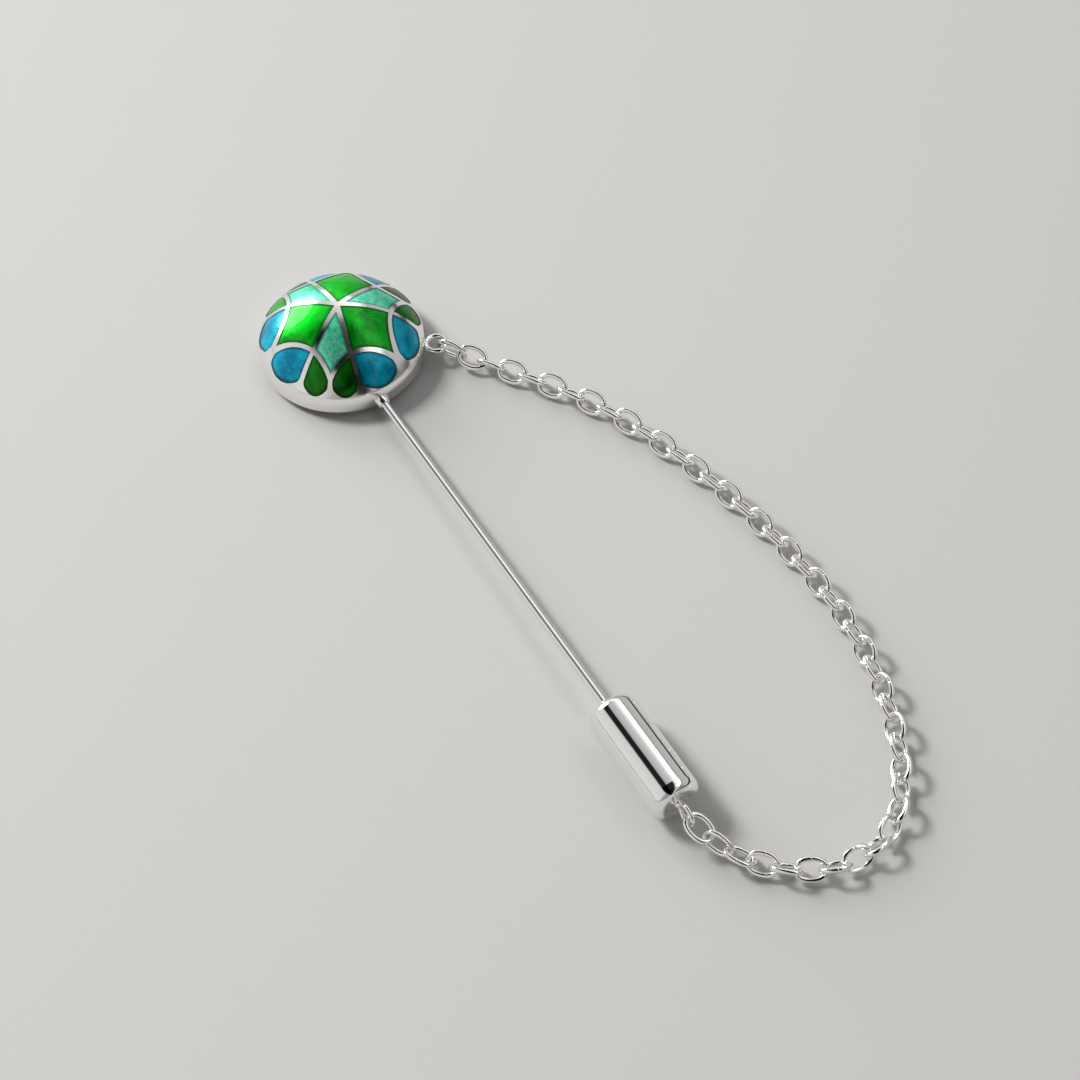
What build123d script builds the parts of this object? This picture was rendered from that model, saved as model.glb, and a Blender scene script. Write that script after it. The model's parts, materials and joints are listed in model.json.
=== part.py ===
from build123d import *
import os
from math import atan2, cos, degrees, hypot, radians, sin, sqrt

# A hat pin: an enamelled dome head on a long pointed stem, a sliding clutch that
# covers the point, and a safety chain from the head's rim to the clutch.
# Millimetres, +Z up, +X along the stem, the origin under the middle of the whole pin.

# ---- head ----
head_radius = 9.0
head_height = 7.3
band_height = 1.3          # upright band below the dome
shoulder_radius = 2.0      # where the dome turns into the band
rim_softening = 0.18       # rounding of the band's lower edge
dome_wall = 1.2
rim_wall = 0.9             # band's wall around the back plate
rim_notch_gap = 0.02       # stem to back plate and to the rim's notch
plate_thickness = 0.5
plate_clearance = 0.02

# ---- enamel cells, drawn in plan from the top ----
sectors = 3                # the pattern repeats three times round the dome
first_axis = -36.0         # degrees from the stem to the first narrow kite
knot_radius = 0.622 * head_radius        # where kites and drops meet
knot_angle = 21.0                        # degrees from the narrow kite's axis
narrow_tip_radius = 0.844 * head_radius
wide_tip_radius = 0.856 * head_radius
narrow_kite_bow = 0.022 * head_radius    # how far the drops bulge into each kite
wide_kite_bow = 0.038 * head_radius
drop_reach = 0.9756 * head_radius        # the drops' rounded ends
drop_shoulder = 0.05 * head_radius       # where the rounding starts, above that end
small_drop_sides = (0.4, 22.6)           # degrees from the narrow kite's axis
small_drop_rounding = 0.069 * head_radius
large_drop_sides = (23.4, 56.4)
large_drop_turn = 57.4                   # its corner beside the wide kite's tip
large_drop_rounding = 0.078 * head_radius
rib_width = 0.42           # silver rib between two cells
cell_depth = 0.45
rib_proud = 0.04           # rib's top above the enamel
inner_corner_gap = 0.35    # narrow kites stop this far short of the apex, before the rib

# ---- stem ----
stem_radius = 0.5
stem_thinning = 0.02       # the wire is filed this much thinner under the head and in the clutch
thinning_run = 0.6         # length of each gentle step down to that
stem_root = -0.5 * head_radius           # inner end, under the back plate
exposed_length = 46.0      # rim to clutch mouth
point_length = 4.4
point_radius = 0.06
collar_radius = stem_radius + 0.32       # bead of solder at the rim
collar_length = 0.75
collar_bite = 0.25         # the bead starts this far inside the band
solder_width = 3.8 * stem_radius
solder_length = 6.0

# ---- clutch ----
clutch_radius = 2.75
clutch_length = 13.0
clutch_wall = 0.4
mouth_rounding = 0.473 * clutch_radius
end_rounding = 0.418 * clutch_radius
mouth_bore = stem_radius + 0.35          # radius of the hole that the stem enters by
plug_radius = 0.49 * clutch_radius
plug_flange = 0.2          # the plug is this much wider inside the barrel
plug_thickness = 0.8
plug_clearance = 0.01
grip_clearance = 0.03      # stem to nylon, a running fit
grip_length = 6.0
grip_side_gap = 0.03
funnel_length = 0.6        # flare that leads the point into the nylon
funnel_widening = 0.7
point_inset = 4.8          # how far the point reaches past the mouth

# ---- chain ----
link_count = 44
link_wire = 0.55
link_length = 3.55
link_width = 2.7
link_slack = 0.1           # play between two links
link_roll = 45.0           # degrees, alternating side to side
first_easing = (40.0, 20.0, 10.0)        # the first links lean this much less or more
last_easing = (0.33, 0.67, 1.0)          # the last links come round to lie flat
head_rise_links = 2.2      # the chain leaves the floor this many links from the head
clutch_rise_links = 2.6    # and this many from the clutch
eyelet_width = 2.7         # ring on the head's rim
eyelet_bearing = 57.5      # degrees from the stem, round the head
eyelet_height = 1.15       # above the band's lower edge
eyelet_sink = 0.12
eyelet_foot = 0.72 * link_wire           # radius of the ring's foot on the band
clutch_eye_radius = 1.12   # to the middle of the wire
clutch_eye_neck = 0.3
hook_slack = 0.3           # play between the last link and the eye
neck_radius = 0.62 * link_wire

# The way the chain lies, in plan, from the head's eyelet round to the clutch: along the
# stem and aside, as shares of the distance from the head's middle to the clutch's eye.
chain_route = [
    (0.185, 0.199),
    (0.304, 0.274),
    (0.437, 0.325),
    (0.579, 0.359),
    (0.723, 0.377),
    (0.861, 0.374),
    (0.984, 0.346),
    (1.097, 0.291),
    (1.160, 0.219),
    (1.163, 0.141),
    (1.126, 0.075),
    (1.068, 0.027),
]
widening_range = (0.3, 2.2)              # the bulge may be made this much narrower or wider

# ---- worked out from the above ----
plate_recess = 2 * stem_radius + 0.05    # back plate's underside above the band's lower edge
stem_axis = plate_recess - rim_notch_gap - stem_radius
mouth_x = head_radius + exposed_length
clutch_end = mouth_x + clutch_length
stem_end = mouth_x + point_inset
link_pitch = link_length - 2 * link_wire - link_slack
rest_reach = head_radius + clutch_end - end_rounding
rest_tilt = degrees(atan2(clutch_radius - stem_axis, rest_reach))
lying_height = (link_width - link_wire) / 2 * sin(radians(link_roll)) + link_wire / 2
eye_centre_x = clutch_end + clutch_eye_neck + clutch_eye_radius
hook_x = eye_centre_x + clutch_eye_radius - link_wire - hook_slack


def polar(radius, angle):
    return (radius * cos(radians(angle)), radius * sin(radians(angle)))


def midway(a, b, towards_centre):
    """The middle of a line in plan, moved towards the head's axis."""
    x, y = (a[0] + b[0]) / 2, (a[1] + b[1]) / 2
    pull = towards_centre / hypot(x, y)
    return (x - x * pull, y - y * pull)


# ---- head ----


def dome(outer_radius, foot, band_top, top, shoulder):
    """A solid of revolution: upright band, rounded shoulder and spherical crown."""
    rise = top - band_top
    crown = ((outer_radius - shoulder) ** 2 + rise**2 - shoulder**2) / (2 * (rise - shoulder))
    lean = atan2(outer_radius - shoulder, top - crown - band_top)
    out_x = (outer_radius - shoulder) * crown / (crown - shoulder)
    crown_centre = top - crown
    join = (out_x, crown_centre + sqrt(crown**2 - out_x**2))
    crown_lean = atan2(join[0], join[1] - crown_centre)
    crown_mid = (crown * sin(crown_lean / 2), crown_centre + crown * cos(crown_lean / 2))
    shoulder_turn = (radians(90) + crown_lean) / 2
    shoulder_mid = (
        outer_radius - shoulder + shoulder * sin(shoulder_turn),
        band_top + shoulder * cos(shoulder_turn),
    )
    with BuildPart() as body:
        with BuildSketch(Plane.XZ):
            with BuildLine():
                Line((0, foot), (outer_radius, foot))
                Line((outer_radius, foot), (outer_radius, band_top))
                ThreePointArc((outer_radius, band_top), shoulder_mid, join)
                ThreePointArc(join, crown_mid, (0, top))
                Line((0, top), (0, foot))
            make_face()
        revolve(axis=Axis.Z)
    return body.part


def outer_dome(lowered=0.0):
    body = dome(head_radius, 0, band_height, head_height, shoulder_radius)
    return Pos(0, 0, -lowered) * body


def cell_outline(edges, rounded, radius):
    """A cell inside its ribs' middle lines: the outline moved in by half a rib."""
    face = make_face(edges)
    corners = [v for v in face.vertices() if any(near(v, p) for p in rounded)]
    if corners:
        face = fillet(corners, radius)
    return offset(face, amount=-rib_width / 2)


def near(vertex, point):
    return hypot(vertex.X - point[0], vertex.Y - point[1]) < 1e-4


def narrow_kite():
    knot_a, knot_b = polar(knot_radius, -knot_angle), polar(knot_radius, knot_angle)
    tip = polar(narrow_tip_radius, 0)
    start = polar(inner_corner_gap, 0)
    edges = [
        Line(start, knot_a),
        ThreePointArc(knot_a, midway(knot_a, tip, narrow_kite_bow), tip),
        ThreePointArc(tip, midway(knot_b, tip, narrow_kite_bow), knot_b),
        Line(knot_b, start),
    ]
    return cell_outline(edges, [], 0)


def wide_kite():
    sector = 360 / sectors
    knot_a, knot_b = polar(knot_radius, knot_angle), polar(knot_radius, sector - knot_angle)
    tip = polar(wide_tip_radius, sector / 2)
    edges = [
        Line((0, 0), knot_a),
        ThreePointArc(knot_a, midway(knot_a, tip, wide_kite_bow), tip),
        ThreePointArc(tip, midway(knot_b, tip, wide_kite_bow), knot_b),
        Line(knot_b, (0, 0)),
    ]
    return cell_outline(edges, [], 0)


def small_drop():
    """Beside the narrow kite's tip."""
    knot, tip = polar(knot_radius, knot_angle), polar(narrow_tip_radius, 0)
    near_side, far_side = small_drop_sides
    low = polar(drop_reach - drop_shoulder, near_side)
    far = polar(drop_reach - drop_shoulder, far_side)
    bottom = polar(drop_reach + rib_width / 2, (near_side + far_side) / 2)
    edges = [
        ThreePointArc(knot, midway(knot, tip, narrow_kite_bow), tip),
        Line(tip, low),
        ThreePointArc(low, bottom, far),
        Line(far, knot),
    ]
    return cell_outline(edges, [tip, low, far], small_drop_rounding)


def large_drop():
    """Beside the wide kite."""
    knot, tip = polar(knot_radius, knot_angle), polar(wide_tip_radius, 180 / sectors)
    near_side, far_side = large_drop_sides
    turn = polar(wide_tip_radius - drop_shoulder / 4, large_drop_turn)
    low = polar(drop_reach - drop_shoulder * 2 / 3, far_side)
    far = polar(drop_reach - drop_shoulder, near_side)
    bottom = polar(drop_reach + rib_width / 2, (near_side + far_side) / 2)
    edges = [
        ThreePointArc(knot, midway(knot, tip, wide_kite_bow), turn),
        Line(turn, low),
        ThreePointArc(low, bottom, far),
        Line(far, knot),
    ]
    return cell_outline(edges, [turn, low, far], large_drop_rounding)


def around(outline, mirrored):
    """The cells of one colour: the outline at every sector, and its mirror image if it has one."""
    outlines = [outline]
    if mirrored:
        outlines.append(mirror(outline, Plane.XZ))
    return [
        Rot(0, 0, first_axis + 360 / sectors * n) * one
        for n in range(sectors)
        for one in outlines
    ]


def cell_columns():
    """Upright columns through the dome, by colour."""
    drawn = {
        "enamel_mint": around(narrow_kite(), False),
        "enamel_green": around(wide_kite(), False),
        "enamel_dark_green": around(small_drop(), True),
        "enamel_blue": around(large_drop(), True),
    }
    return {
        name: [extrude(outline, amount=head_height + 1) for outline in outlines]
        for name, outlines in drawn.items()
    }


def enamel(columns, floor):
    surface = outer_dome(rib_proud)
    return Compound([(column & surface - floor).solid() for column in columns])


def head_shell(columns, floor):
    shell = outer_dome()
    foot = [e for e in shell.edges() if abs(e.center().Z) < 1e-6 and e.geom_type == GeomType.CIRCLE]
    shell = fillet(foot, rim_softening)
    plate_top = plate_recess + plate_thickness
    hollow = dome(
        head_radius - dome_wall,
        plate_top - 0.1,
        plate_top + 0.3,
        head_height - dome_wall,
        shoulder_radius - dome_wall,
    )
    seat = Pos(0, 0, plate_top / 2) * Cylinder(head_radius - rim_wall, plate_top)
    notch_radius = stem_radius + rim_notch_gap
    notch = Pos(head_radius / 2, 0, stem_axis) * Rot(0, 90, 0) * Cylinder(notch_radius, head_radius + 2)
    slot = Pos(head_radius / 2, 0, stem_axis / 2) * Box(head_radius + 2, 2 * notch_radius, stem_axis)
    shell = shell - hollow - seat - notch - slot
    for column in columns:
        shell = shell - (column & outer_dome(-1) - floor)
    return shell


def back_plate():
    radius = head_radius - rim_wall - plate_clearance
    return Pos(0, 0, plate_recess + plate_thickness / 2) * Cylinder(radius, plate_thickness)


def rim_eyelet():
    """A ring soldered flat to the band, on a small foot."""
    reach = head_radius + eyelet_width / 2 - eyelet_sink
    ring_radius = (eyelet_width - link_wire) / 2
    ring = Torus(ring_radius, link_wire / 2)
    foot = Pos(-ring_radius, 0, 0) * Sphere(eyelet_foot)
    placed = Rot(0, 0, eyelet_bearing) * Pos(reach, 0, eyelet_height) * (ring + foot)
    return placed - Pos(0, 0, head_height / 2) * Cylinder(head_radius, head_height * 2)


# ---- stem ----


def stem():
    """Wire of one thickness where it shows, a little thinner in the head, and its point."""
    thin = stem_radius - stem_thinning
    wire_start = head_radius + collar_length + 0.05
    wire_end = mouth_x - thinning_run / 2
    with BuildPart() as body:
        with BuildSketch(Plane.XZ):
            with BuildLine():
                Polyline(
                    (stem_root, 0),
                    (stem_root, thin * 0.8),
                    (stem_root + thin * 0.2, thin),
                    (wire_start - thinning_run, thin),
                    (wire_start, stem_radius),
                    (wire_end, stem_radius),
                    (stem_end - point_length, thin),
                    (stem_end, point_radius),
                    (stem_end, 0),
                    close=True,
                )
            make_face()
        revolve(axis=Axis.X)
    return Pos(0, 0, stem_axis) * body.part


def stem_collar():
    """The bead of solder where the stem leaves the rim."""
    start, end = head_radius - collar_bite, head_radius + collar_length
    widest = head_radius + 0.1
    with BuildPart() as body:
        with BuildSketch(Plane.XZ):
            with BuildLine():
                Line((start, 0), (start, collar_radius * 0.9))
                Line((start, collar_radius * 0.9), (widest, collar_radius))
                ThreePointArc(
                    (widest, collar_radius),
                    (head_radius + 0.6 * collar_length, collar_radius * 0.86),
                    (end, stem_radius),
                )
                Line((end, stem_radius), (end, 0))
                Line((end, 0), (start, 0))
            make_face()
        revolve(axis=Axis.X)
    bead = Pos(0, 0, stem_axis) * body.part
    bead = bead - Cylinder(head_radius, 4 * head_height)
    bead = bead - stem()
    above_floor = Pos(head_radius, 0, head_height / 2) * Box(head_radius, head_radius, head_height)
    return bead & above_floor


def stem_solder():
    """The long fillet of solder that holds the stem under the back plate."""
    height = stem_radius + rim_notch_gap
    pad = Pos(0, 0, plate_recess - height / 2) * Box(solder_length, solder_width, height)
    pad = fillet(pad.edges().filter_by(Axis.Z), solder_width * 0.42)
    low = [e for e in pad.edges() if e.center().Z < plate_recess - height + 1e-4]
    pad = chamfer(low, height * 0.5)
    return pad - stem()


# ---- clutch ----


def along_stem(x, radius, length):
    """A round bar on the stem's axis, starting at x."""
    return Pos(x + length / 2, 0, stem_axis) * Rot(0, 90, 0) * Cylinder(radius, length)


def end_edges(shape, x):
    return [e for e in shape.edges() if abs(e.center().X - x) < 1e-4 and e.geom_type == GeomType.CIRCLE]


def clutch_barrel():
    body = along_stem(mouth_x, clutch_radius, clutch_length)
    body = fillet(end_edges(body, mouth_x), mouth_rounding)
    body = fillet(end_edges(body, clutch_end), end_rounding)
    inside = along_stem(
        mouth_x + clutch_wall, clutch_radius - clutch_wall, clutch_length - 2 * clutch_wall
    )
    inside = fillet(end_edges(inside, mouth_x + clutch_wall), mouth_rounding - clutch_wall)
    inside = fillet(end_edges(inside, clutch_end - clutch_wall), end_rounding - clutch_wall)
    mouth = along_stem(mouth_x - 1, mouth_bore, 2 + clutch_wall)
    end_hole = along_stem(clutch_end - 2, plug_radius, 3)
    return body - inside - mouth - end_hole


def clutch_plug():
    """The stopper in the barrel's far end, which the eye is fixed to."""
    radius = plug_radius - plug_clearance
    plug = along_stem(clutch_end - plug_thickness, radius, plug_thickness)
    flange = along_stem(
        clutch_end - plug_thickness,
        radius + plug_flange,
        plug_thickness - clutch_wall - plug_clearance,
    )
    return plug + flange


def clutch_eye():
    """An upright ring on a short neck."""
    ring = Pos(eye_centre_x, 0, stem_axis) * Rot(90, 0, 0) * Torus(clutch_eye_radius, link_wire / 2)
    neck = along_stem(clutch_end, neck_radius, clutch_eye_neck + link_wire * 0.2)
    return ring + neck


def grip_sleeve():
    """The nylon sleeve inside the clutch that grips the stem."""
    start = mouth_x + mouth_rounding
    body = along_stem(start, clutch_radius - clutch_wall - grip_side_gap, grip_length)
    body = chamfer(end_edges(body, start), clutch_wall / 2)
    bore_radius = stem_radius + grip_clearance
    bore = along_stem(start - 1, bore_radius, grip_length + 2)
    flare = Cone(bore_radius + funnel_widening, bore_radius, funnel_length)
    funnel = Pos(start + funnel_length / 2, 0, stem_axis) * Rot(0, 90, 0) * flare
    return body - bore - funnel


# ---- chain ----


def on_floor(point):
    """A point of the tilted pin, where it lies once the pin rests on a floor at height 0."""
    return (resting() * Location(point)).position


def resting():
    lift = head_radius * sin(radians(rest_tilt))
    return Location((0, 0, lift), (0, -rest_tilt, 0))


def chain_ends():
    """Where the chain hangs from the head's eyelet, and where it hooks into the clutch's eye."""
    ring_reach = head_radius + eyelet_width / 2 - eyelet_sink
    centre = polar(ring_reach, eyelet_bearing)
    towards = (chain_route[0][0] * eye_centre_x, chain_route[0][1] * eye_centre_x)
    away = atan2(towards[1] - centre[1], towards[0] - centre[0])
    radius = (eyelet_width - link_wire) / 2
    first = (centre[0] + radius * cos(away), centre[1] + radius * sin(away), eyelet_height)
    return on_floor(first), on_floor((hook_x, 0, stem_axis))


def lying_curve(widening):
    """Points close together on the chain's way, with its bulge made wider or narrower."""
    first, last = chain_ends()
    plan = [(first.X, first.Y)]
    plan += [(x * eye_centre_x, y * eye_centre_x * widening) for x, y in chain_route]
    plan += [(last.X, last.Y)]
    curve = Spline(*plan)
    steps = 500
    flat = [curve @ (n / steps) for n in range(steps + 1)]
    run = curve.length
    points = []
    for n, p in enumerate(flat):
        from_head = run * n / steps
        points.append(Vector(p.X, p.Y, height_at(from_head, run - from_head, first.Z, last.Z)))
    return points


def height_at(from_head, from_clutch, head_z, clutch_z):
    """The chain lies on the floor and rises smoothly to its two ends."""
    sag = 1.3
    head_part = max(0.0, 1 - from_head / (head_rise_links * link_pitch))
    clutch_part = max(0.0, 1 - from_clutch / (clutch_rise_links * link_pitch))
    return (
        lying_height
        + (head_z - lying_height) * head_part**sag
        + (clutch_z - lying_height) * clutch_part**sag
    )


def hung_links(points):
    """Hinge points one pitch apart along the points, and the way left over at the end."""
    hinges, k = [points[0]], 0
    while len(hinges) <= link_count:
        while k < len(points) and (points[k] - hinges[-1]).length < link_pitch:
            k += 1
        if k == len(points):
            short = link_pitch - (points[-1] - hinges[-1]).length
            return hinges, -(short + link_pitch * (link_count - len(hinges)))
        a, b = points[k - 1], points[k]
        low, high = 0.0, 1.0
        for _ in range(20):
            middle = (low + high) / 2
            if (a + (b - a) * middle - hinges[-1]).length < link_pitch:
                low = middle
            else:
                high = middle
        hinges.append(a + (b - a) * high)
    return hinges, (points[-1] - hinges[-1]).length


def chain_hinges():
    """Where each link turns against the one before, with the chain exactly long enough."""
    narrow, wide = widening_range
    for _ in range(26):
        widening = (narrow + wide) / 2
        hinges, left_over = hung_links(lying_curve(widening))
        if left_over > 0:
            wide = widening
        else:
            narrow = widening
    hinges, _ = hung_links(lying_curve(wide))
    return hinges


def roll_of(n):
    """Links lean to alternate sides, and stand up or lie flat to suit the rings at the ends."""
    lean = link_roll if n % 2 == 0 else -link_roll
    easing = first_easing[n - 1] if n <= len(first_easing) else 0.0
    easing *= 1 if lean < 0 else 0.6
    from_end = link_count - n
    ending = last_easing[-1 - from_end] if from_end < len(last_easing) else 0.0
    last_lean = link_roll if link_count % 2 == 0 else -link_roll
    return lean - easing - last_lean * ending


def link_shape():
    """One closed oval link, its two bends half circles, lying flat along X."""
    bend = (link_width - link_wire) / 2
    half = (link_length - link_width) / 2
    section = Plane(origin=(0, -bend, 0), x_dir=(0, 1, 0), z_dir=(1, 0, 0))
    side = extrude(section * Circle(link_wire / 2), amount=half, both=True)
    bar = side + mirror(side, Plane.XZ)
    ring = Torus(bend, link_wire / 2)
    half_space = Pos(bend, 0, 0) * Box(2 * bend, 4 * bend, 4 * link_wire)
    bend_out = Pos(half, 0, 0) * (ring & (Pos(link_wire, 0, 0) * half_space + half_space))
    return bar + bend_out + mirror(bend_out, Plane.YZ)


def link_place(n, hinges):
    """Where link n lies: its way, its lean, and its near bend held at its own hinge."""
    start, end = hinges[n - 1], hinges[n]
    way = (end - start).normalized()
    side = Vector(0, 0, 1).cross(way).normalized()
    up = way.cross(side)
    roll = radians(roll_of(n))
    normal = up * cos(roll) - side * sin(roll)
    centre = start + way * (link_pitch - (link_length - link_wire) / 2)
    return Plane(origin=centre, x_dir=way, z_dir=normal).location


def chain():
    shape = link_shape()
    hinges = chain_hinges()
    return {f"chain_link_{n:02d}": link_place(n, hinges) * shape for n in range(1, link_count + 1)}


# ---- the whole pin ----


def pin_pieces():
    """Every piece of the head, stem and clutch, with the head's back level."""
    columns = cell_columns()
    floor = outer_dome(cell_depth)
    every_column = [column for group in columns.values() for column in group]
    pieces = {"head_shell": head_shell(every_column, floor)}
    for name, group in columns.items():
        pieces[name] = enamel(group, floor)
    pieces["back_plate"] = back_plate()
    pieces["rim_eyelet"] = rim_eyelet()
    pieces["stem"] = stem()
    pieces["stem_collar"] = stem_collar()
    pieces["stem_solder"] = stem_solder()
    pieces["clutch_barrel"] = clutch_barrel()
    pieces["clutch_plug"] = clutch_plug()
    pieces["clutch_eye"] = clutch_eye()
    pieces["grip_sleeve"] = grip_sleeve()
    return pieces


def all_pieces():
    """(pieces by name, lying on a floor at height 0; the move that centres them over the origin)"""
    pieces = {name: resting() * piece for name, piece in pin_pieces().items()}
    pieces.update(chain())
    boxes = [piece.bounding_box() for piece in pieces.values()]
    low_x, high_x = min(box.min.X for box in boxes), max(box.max.X for box in boxes)
    low_y, high_y = min(box.min.Y for box in boxes), max(box.max.Y for box in boxes)
    return pieces, Pos(-(low_x + high_x) / 2, -(low_y + high_y) / 2, 0)


def main():
    os.makedirs("parts", exist_ok=True)
    pieces, centre = all_pieces()
    for name, piece in pieces.items():
        export_step(centre * piece, f"parts/{name}.step")


main()
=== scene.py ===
"""A hat pin with an enamelled dome head, a polished stem, a barrel clutch and a safety chain."""

import json
from math import atan2, cos, exp, pi, radians, sin, sqrt

import bmesh
import bpy
import numpy as np
from bpy.props import FloatProperty, FloatVectorProperty, IntProperty, PointerProperty
from mathutils import Matrix, Vector, noise


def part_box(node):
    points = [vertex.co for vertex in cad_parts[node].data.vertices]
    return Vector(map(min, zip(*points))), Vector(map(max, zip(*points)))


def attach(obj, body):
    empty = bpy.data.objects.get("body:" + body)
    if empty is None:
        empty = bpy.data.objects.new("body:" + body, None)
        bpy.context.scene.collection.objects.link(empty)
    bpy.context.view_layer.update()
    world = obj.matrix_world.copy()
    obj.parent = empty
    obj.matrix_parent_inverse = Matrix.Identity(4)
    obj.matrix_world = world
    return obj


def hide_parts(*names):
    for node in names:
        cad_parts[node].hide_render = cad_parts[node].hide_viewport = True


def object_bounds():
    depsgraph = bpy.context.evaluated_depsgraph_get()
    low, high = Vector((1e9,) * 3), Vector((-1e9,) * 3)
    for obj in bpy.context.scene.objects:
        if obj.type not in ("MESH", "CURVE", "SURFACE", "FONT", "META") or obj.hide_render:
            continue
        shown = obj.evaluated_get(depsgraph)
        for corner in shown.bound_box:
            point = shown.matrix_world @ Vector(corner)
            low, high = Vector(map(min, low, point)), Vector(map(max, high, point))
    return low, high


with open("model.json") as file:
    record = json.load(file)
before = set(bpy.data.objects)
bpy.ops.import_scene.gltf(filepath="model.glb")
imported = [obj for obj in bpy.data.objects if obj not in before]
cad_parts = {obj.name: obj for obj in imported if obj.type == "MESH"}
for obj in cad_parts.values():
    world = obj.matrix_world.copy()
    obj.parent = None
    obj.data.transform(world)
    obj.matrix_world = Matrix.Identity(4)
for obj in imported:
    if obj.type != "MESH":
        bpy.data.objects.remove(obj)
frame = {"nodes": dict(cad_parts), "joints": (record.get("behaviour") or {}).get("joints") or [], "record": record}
CAD_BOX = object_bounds()

bl_info = {
    "name": "Enamelled Hat Pin",
    "version": (1, 0, 0),
    "blender": (4, 5, 0),
    "location": "View3D > Sidebar > Hat Pin",
    "description": "Builds the visible pieces of an enamelled hat pin around its solid model",
    "category": "Add Mesh",
}

MM = 0.001
EVEN = (1.0, 1.0, 1.0)
JOINTS = {joint["name"]: joint for joint in frame["joints"]}
STEM_WAY = Vector(JOINTS["clutch_slide"]["axis"]).normalized()
SIDEWAYS = Vector((0, 1, 0))
PIN_UP = STEM_WAY.cross(SIDEWAYS)
CLUTCH_MOUTH = Vector(JOINTS["clutch_turn"]["pos_m"])


def box_middle(node):
    low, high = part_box(node)
    return (low + high) / 2


# The back plate's middle is this far above the head's lower edge, in millimetres.
PLATE_MIDDLE = 1.3
HEAD_BASE = box_middle("back_plate") - PIN_UP * PLATE_MIDDLE * MM
# Shapes are made in millimetres along the stem, sideways and up from the head's lower edge.
PIN_PLACE = Matrix.Translation(HEAD_BASE) @ Matrix(
    [[a * MM, b * MM, c * MM, 0] for a, b, c in zip(STEM_WAY, SIDEWAYS, PIN_UP)]
    + [[0, 0, 0, 1]]
)


def pin_point(point):
    """A point of the frame in the pin's own millimetres."""
    return PIN_PLACE.inverted() @ Vector(point)


# ---------------------------------------------------------------- sizes and colours


def length_setting(name, description, millimetres):
    return FloatProperty(
        name=name, description=description, default=millimetres * MM, unit="LENGTH", precision=5
    )


def colour_setting(name, description, value):
    return FloatVectorProperty(
        name=name, description=description, default=value, size=3, min=0, max=1, subtype="COLOR"
    )


class HatPinSizes(bpy.types.PropertyGroup):
    head_radius: length_setting("Head radius", "Radius of the enamelled head", 9.0)
    head_height: length_setting("Head height", "Lower edge to the top of the dome", 7.3)
    crown_radius: length_setting("Crown radius", "Radius of the dome's curve", 10.125)
    enamel_crown: length_setting("Enamel swell", "How far the enamel swells in a cell", 0.07)
    enamel_climb: length_setting("Enamel climb", "How far the enamel climbs its walls", 0.02)
    wire_radius: length_setting("Stem radius", "Radius of the stem's wire", 0.5)
    point_length: length_setting("Point length", "Length of the stem's point", 4.4)
    clutch_radius: length_setting("Clutch radius", "Radius of the clutch's barrel", 2.75)
    clutch_length: length_setting("Clutch length", "Length of the clutch's barrel", 13.0)
    link_wire: length_setting("Link wire", "Thickness of the chain's wire", 0.55)
    link_length: length_setting("Link length", "Outside length of one link", 3.55)
    link_width: length_setting("Link width", "Outside width of one link", 2.7)
    turns: IntProperty(name="Turns", description="Facets round a turned piece", default=144)


class HatPinColours(bpy.types.PropertyGroup):
    green_deep: colour_setting("Green, deep", "Wide kites where they look deep", (0.0, 0.10, 0.004))
    green_bright: colour_setting("Green, bright", "Wide kites where they shine", (0.0, 0.54, 0.014))
    mint_deep: colour_setting("Mint, deep", "Narrow kites where they look deep", (0.02, 0.48, 0.25))
    mint_bright: colour_setting("Mint, bright", "Narrow kites' pearly streaks", (0.22, 0.95, 0.66))
    leaf_deep: colour_setting("Leaf, deep", "Small drops where they look deep", (0.0, 0.04, 0.0))
    leaf_bright: colour_setting("Leaf, bright", "Small drops where they shine", (0.001, 0.30, 0.004))
    blue_deep: colour_setting("Blue, deep", "Large drops where they look deep", (0.0, 0.17, 0.30))
    blue_bright: colour_setting("Blue, bright", "Large drops where they shine", (0.0, 0.50, 0.70))
    silver: colour_setting("Silver", "Silver-coloured plating", (0.93, 0.925, 0.915))
    steel: colour_setting("Steel", "Polished wire", (0.90, 0.90, 0.905))
    floor: colour_setting("Floor", "Plain pale floor", (0.43, 0.425, 0.415))


def sizes():
    return bpy.context.scene.hat_pin_sizes


def colours():
    return bpy.context.scene.hat_pin_colours


def in_mm(value):
    return value / MM


# ---------------------------------------------------------------- node helpers


def add_node(tree, kind, at, settings=None, **inputs):
    node = tree.nodes.new(kind)
    node.location = at
    for key, value in (settings or {}).items():
        setattr(node, key, value)
    for key, value in inputs.items():
        node.inputs[key.replace("_", " ")].default_value = value
    return node


def join(tree, source, output, target, entry):
    tree.links.new(source.outputs[output], target.inputs[entry])


def new_group(name, entries, results):
    """A shader node group with its sockets: entries are (name, kind, default)."""
    group = bpy.data.node_groups.new(name, "ShaderNodeTree")
    for label, kind, default in entries:
        socket = group.interface.new_socket(label, in_out="INPUT", socket_type=kind)
        socket.default_value = default
    for label, kind in results:
        group.interface.new_socket(label, in_out="OUTPUT", socket_type=kind)
    start = group.nodes.new("NodeGroupInput")
    start.location = (-900, 0)
    end = group.nodes.new("NodeGroupOutput")
    end.location = (900, 0)
    return group, start, end


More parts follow.
